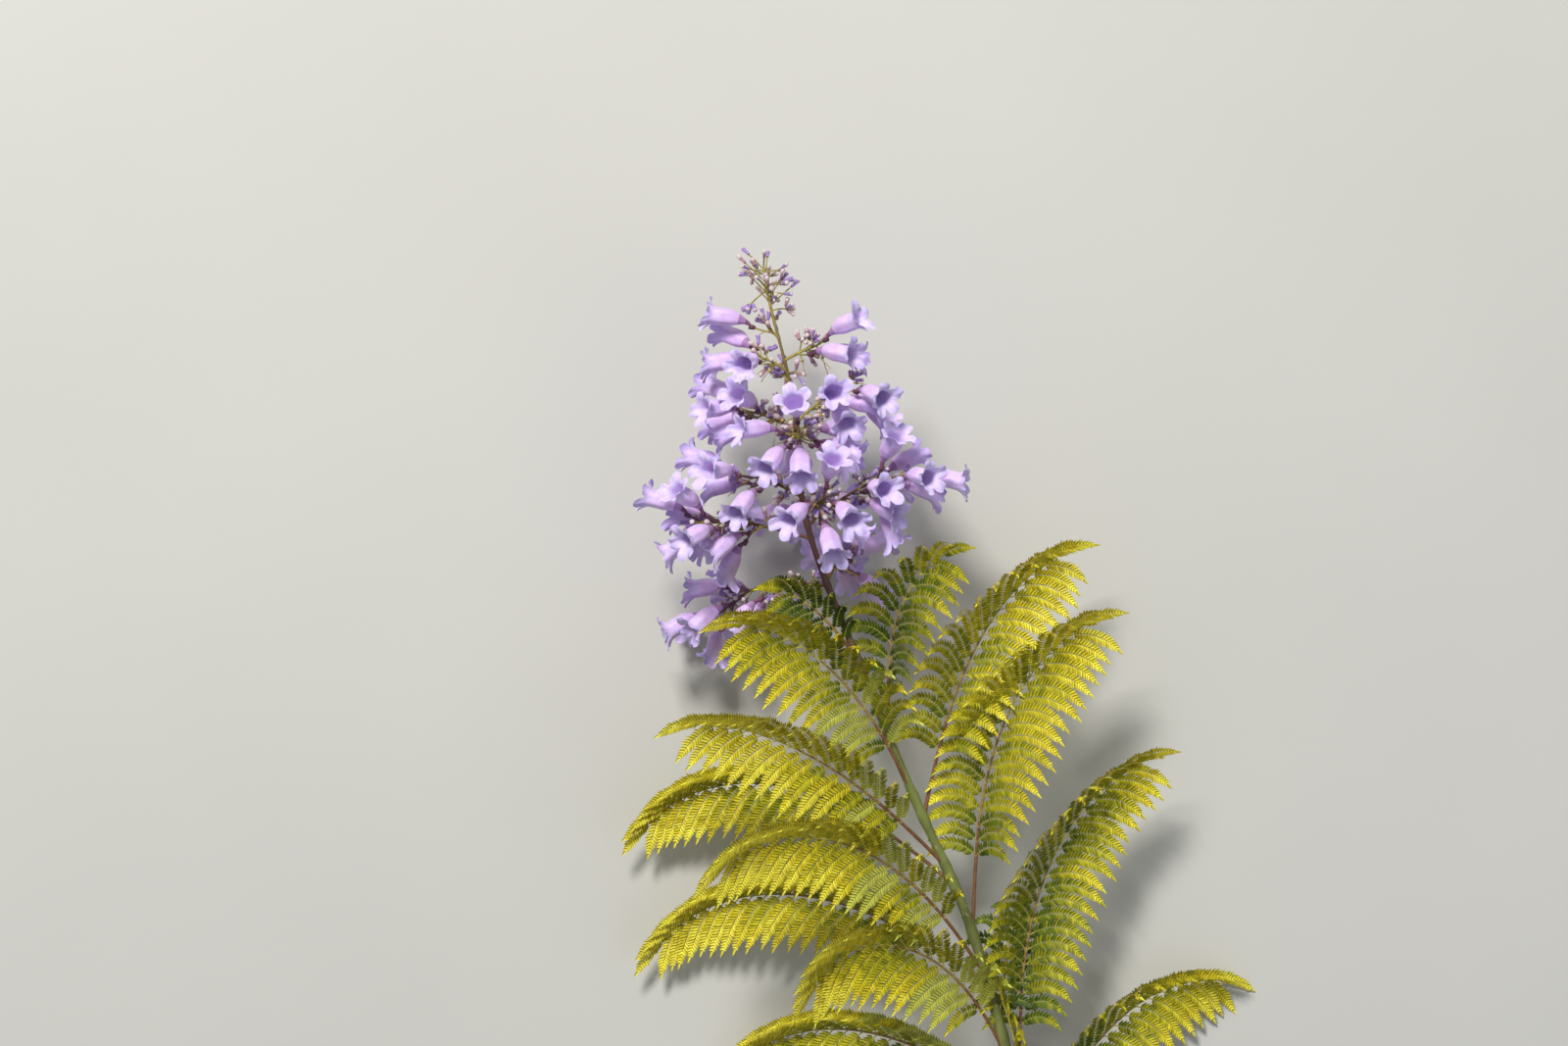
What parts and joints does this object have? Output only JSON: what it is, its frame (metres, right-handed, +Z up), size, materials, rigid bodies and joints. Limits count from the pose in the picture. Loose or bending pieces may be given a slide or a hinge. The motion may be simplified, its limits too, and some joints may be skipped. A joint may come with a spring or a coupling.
{
  "type": "cut jacaranda flowering branch",
  "caption": "Cut tip of a jacaranda branch, lying down: a leafy stem with feathery compound leaves and a head of lavender trumpet blossoms.",
  "frame": {"origin": "on the ground, under the middle of the whole shoot's box", "axes": "+Y along the stem from its cut end to the flower head, +Z up from the surface it lies on, +X to the right of someone who looks down on it"},
  "size_m": [0.4856, 0.7412, 0.1961],
  "materials": {
    "stem": "green young bark, smooth and slightly waxy, turning purple-brown in the flower head",
    "cyme": "lavender blossoms and purple buds on thin brown-green stalks",
    "blossom": "soft petals, lavender-blue lobes on a lilac tube",
    "leaf": "young lime-yellow leaflets with a faint waxy sheen",
    "shaded_leaf": "greener leaflets with a faint waxy sheen"
  },
  "bodies": {
    "root": {"stem": "stem", "cyme_tip": "cyme", "cyme_left_1": "cyme", "cyme_left_1_blossom_1": "blossom", "cyme_left_2": "cyme", "cyme_left_2_blossom_1": "blossom", "cyme_left_2_blossom_2": "blossom", "cyme_left_3": "cyme", "cyme_left_3_blossom_1": "blossom", "cyme_left_3_blossom_2": "blossom", "cyme_left_4": "cyme", "cyme_left_4_blossom_1": "blossom", "cyme_left_4_blossom_2": "blossom", "cyme_left_5": "cyme", "cyme_left_5_blossom_1": "blossom", "cyme_left_5_blossom_2": "blossom", "cyme_left_6": "cyme", "cyme_left_6_blossom_1": "blossom", "cyme_left_6_blossom_2": "blossom", "cyme_right_1": "cyme", "cyme_right_1_blossom_1": "blossom", "cyme_right_1_blossom_2": "blossom", "cyme_right_2": "cyme", "cyme_right_2_blossom_1": "blossom", "cyme_right_2_blossom_2": "blossom", "cyme_right_3": "cyme", "cyme_right_3_blossom_1": "blossom", "cyme_right_3_blossom_2": "blossom", "cyme_right_4": "cyme", "cyme_right_4_blossom_1": "blossom", "cyme_right_4_blossom_2": "blossom", "cyme_front_1": "cyme", "cyme_front_1_blossom_1": "blossom", "cyme_front_1_blossom_2": "blossom", "cyme_front_2": "cyme", "cyme_front_2_blossom_1": "blossom", "cyme_front_2_blossom_2": "blossom", "cyme_back_1": "cyme", "cyme_back_1_blossom_1": "blossom", "cyme_back_1_blossom_2": "blossom", "cyme_back_2": "cyme", "cyme_back_2_blossom_1": "blossom", "cyme_back_2_blossom_2": "blossom", "leaf_left_0": "shaded_leaf", "leaf_left_1": "leaf", "leaf_right_1": "shaded_leaf", "leaf_left_2": "leaf", "leaf_low_2": "leaf", "leaf_right_2": "leaf", "leaf_left_3": "leaf", "leaf_low_3": "leaf", "leaf_right_3": "leaf", "leaf_back_4": "shaded_leaf", "leaf_left_4": "leaf", "leaf_low_4": "leaf", "leaf_right_4": "leaf", "leaf_front_5": "leaf", "leaf_left_5": "leaf", "leaf_right_5": "leaf"}
  },
  "joints": []
}
